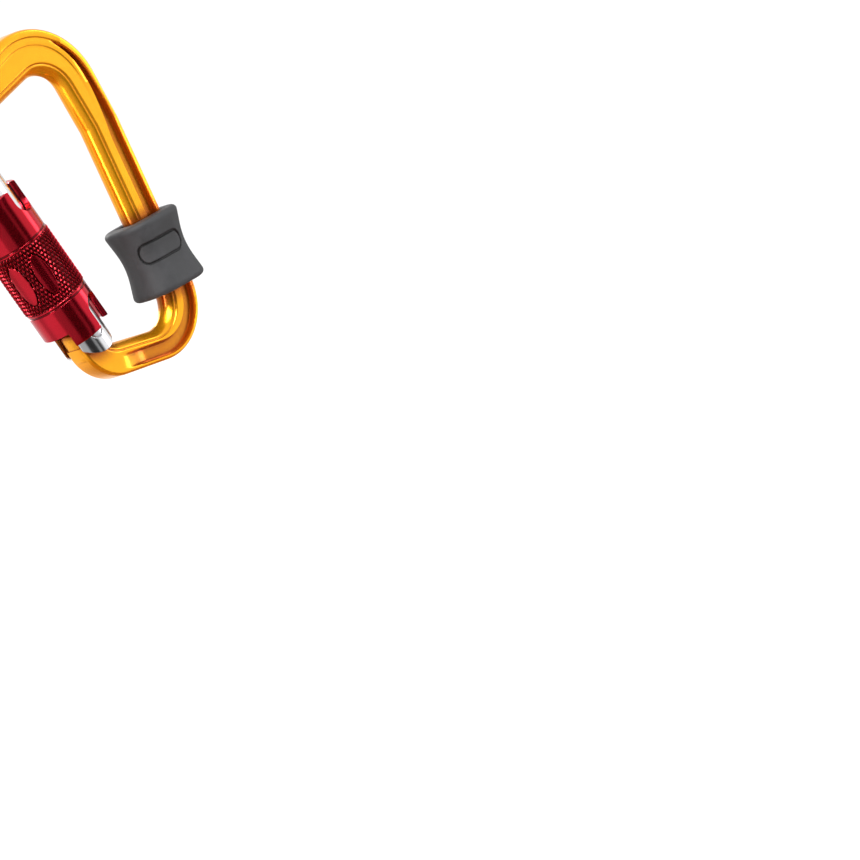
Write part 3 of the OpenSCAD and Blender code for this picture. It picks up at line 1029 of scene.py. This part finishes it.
# ---------------------------------------------------------------- stage, light and camera
def place_camera():
    """The camera, turned, raised and rolled as in the photograph."""
    turn, rise, roll = [math.radians(a) for a in (CAMERA_TURN, CAMERA_RISE, CAMERA_ROLL)]
    right = Vector((math.cos(turn), -math.sin(turn), 0))
    up = Vector((math.sin(turn) * math.sin(rise), math.cos(turn) * math.sin(rise), math.cos(rise)))
    back = Vector((-math.sin(turn) * math.cos(rise), -math.cos(turn) * math.cos(rise), math.sin(rise)))
    x = math.cos(roll) * right - math.sin(roll) * up
    y = math.sin(roll) * right + math.cos(roll) * up
    camera = bpy.data.cameras.new("camera")
    camera.lens = CAMERA_LENS
    camera.clip_start = 0.01
    camera.clip_end = 50
    target = Vector(HINGE) + VIEW_RIGHT * right - VIEW_DOWN * up
    matrix = Matrix((x, y, back)).transposed().to_4x4()
    matrix.translation = target + back * (VIEW_WIDE * CAMERA_LENS / camera.sensor_width)
    obj = bpy.data.objects.new("camera", camera)
    bpy.context.scene.collection.objects.link(obj)
    obj.matrix_world = matrix
    bpy.context.scene.camera = obj


def build_stage():
    """The floor under the object, which the object's metal doesn't reflect."""
    half, level = FLOOR_HALF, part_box("frame_body")[0].z - FLOOR_DROP
    points = [(-half, -half, level), (half, -half, level), (half, half, level), (-half, half, level)]
    floor = new_object("floor", points, [(0, 1, 2, 3)])
    floor.data.materials.append(floor_material())
    floor.visible_glossy = False


def build_lights():
    """Soft area lights that face the object."""
    for name, (direction, distance, size, power) in LIGHTS.items():
        light = bpy.data.lights.new(name, "AREA")
        light.shape = "RECTANGLE"
        light.size, light.size_y = size
        light.energy = power
        obj = bpy.data.objects.new(name, light)
        bpy.context.scene.collection.objects.link(obj)
        way = Vector(direction).normalized()
        obj.location = way * distance
        obj.rotation_euler = way.to_track_quat("Z", "Y").to_euler()


def turn_share(tree, direction):
    """The direction's turn about Z, as a share of a full turn."""
    turn, share, wrapped = [tree.nodes.new("ShaderNodeMath") for _ in range(3)]
    turn.operation, share.operation, wrapped.operation = "ARCTAN2", "DIVIDE", "FRACT"
    tree.links.new(direction["Y"], turn.inputs[0])
    tree.links.new(direction["X"], turn.inputs[1])
    tree.links.new(turn.outputs["Value"], share.inputs[0])
    share.inputs[1].default_value = 2 * math.pi
    tree.links.new(share.outputs["Value"], wrapped.inputs[0])
    return wrapped.outputs["Value"]


def band_ramp(tree, share):
    """The studio's bright and dark upright bands."""
    ramp = tree.nodes.new("ShaderNodeValToRGB")
    ramp.color_ramp.interpolation = "EASE"
    elements = ramp.color_ramp.elements
    elements.remove(elements[1])
    for k, (position, level) in enumerate(BANDS):
        element = elements.new(position) if k else elements[0]
        element.position = position
        element.color = (level, level, level, 1)
    tree.links.new(share, ramp.inputs["Fac"])
    return ramp.outputs["Color"]


def fade_with_height(tree, height, ends, colour, other):
    """Fades a colour into another one as the direction's height runs between two ends."""
    fade = tree.nodes.new("ShaderNodeMapRange")
    fade.interpolation_type = "SMOOTHSTEP"
    fade.inputs["From Min"].default_value, fade.inputs["From Max"].default_value = ends
    tree.links.new(height, fade.inputs["Value"])
    return mix_colours(tree, fade.outputs["Result"], colour, other)


def build_world():
    """White all round, but a studio of bright and dark upright bands in reflections."""
    world = bpy.data.worlds.new("studio")
    bpy.context.scene.world = world
    world.use_nodes = True
    tree = world.node_tree
    tree.nodes.clear()
    where = tree.nodes.new("ShaderNodeTexCoord")
    parts = tree.nodes.new("ShaderNodeSeparateXYZ")
    tree.links.new(where.outputs["Generated"], parts.inputs["Vector"])
    height = parts.outputs["Z"]
    bands = band_ramp(tree, turn_share(tree, parts.outputs))
    bands = fade_with_height(tree, height, STUDIO_TOP_Z, bands, STUDIO_TOP)
    bands = fade_with_height(tree, height, STUDIO_BELOW_Z, bands, STUDIO_BELOW)
    backdrop = tree.nodes.new("ShaderNodeBackground")
    backdrop.inputs["Color"].default_value = (1, 1, 1, 1)
    backdrop.inputs["Strength"].default_value = BACKDROP_STRENGTH
    studio = tree.nodes.new("ShaderNodeBackground")
    studio.inputs["Strength"].default_value = STUDIO_STRENGTH
    tree.links.new(bands, studio.inputs["Color"])
    path = tree.nodes.new("ShaderNodeLightPath")
    mix = tree.nodes.new("ShaderNodeMixShader")
    out = tree.nodes.new("ShaderNodeOutputWorld")
    tree.links.new(path.outputs["Is Glossy Ray"], mix.inputs["Fac"])
    tree.links.new(backdrop.outputs["Background"], mix.inputs[1])
    tree.links.new(studio.outputs["Background"], mix.inputs[2])
    tree.links.new(mix.outputs["Shader"], out.inputs["Surface"])


build_pieces()
build_stage()
build_world()
build_lights()
place_camera()
bpy.context.scene.view_settings.view_transform = "Standard"
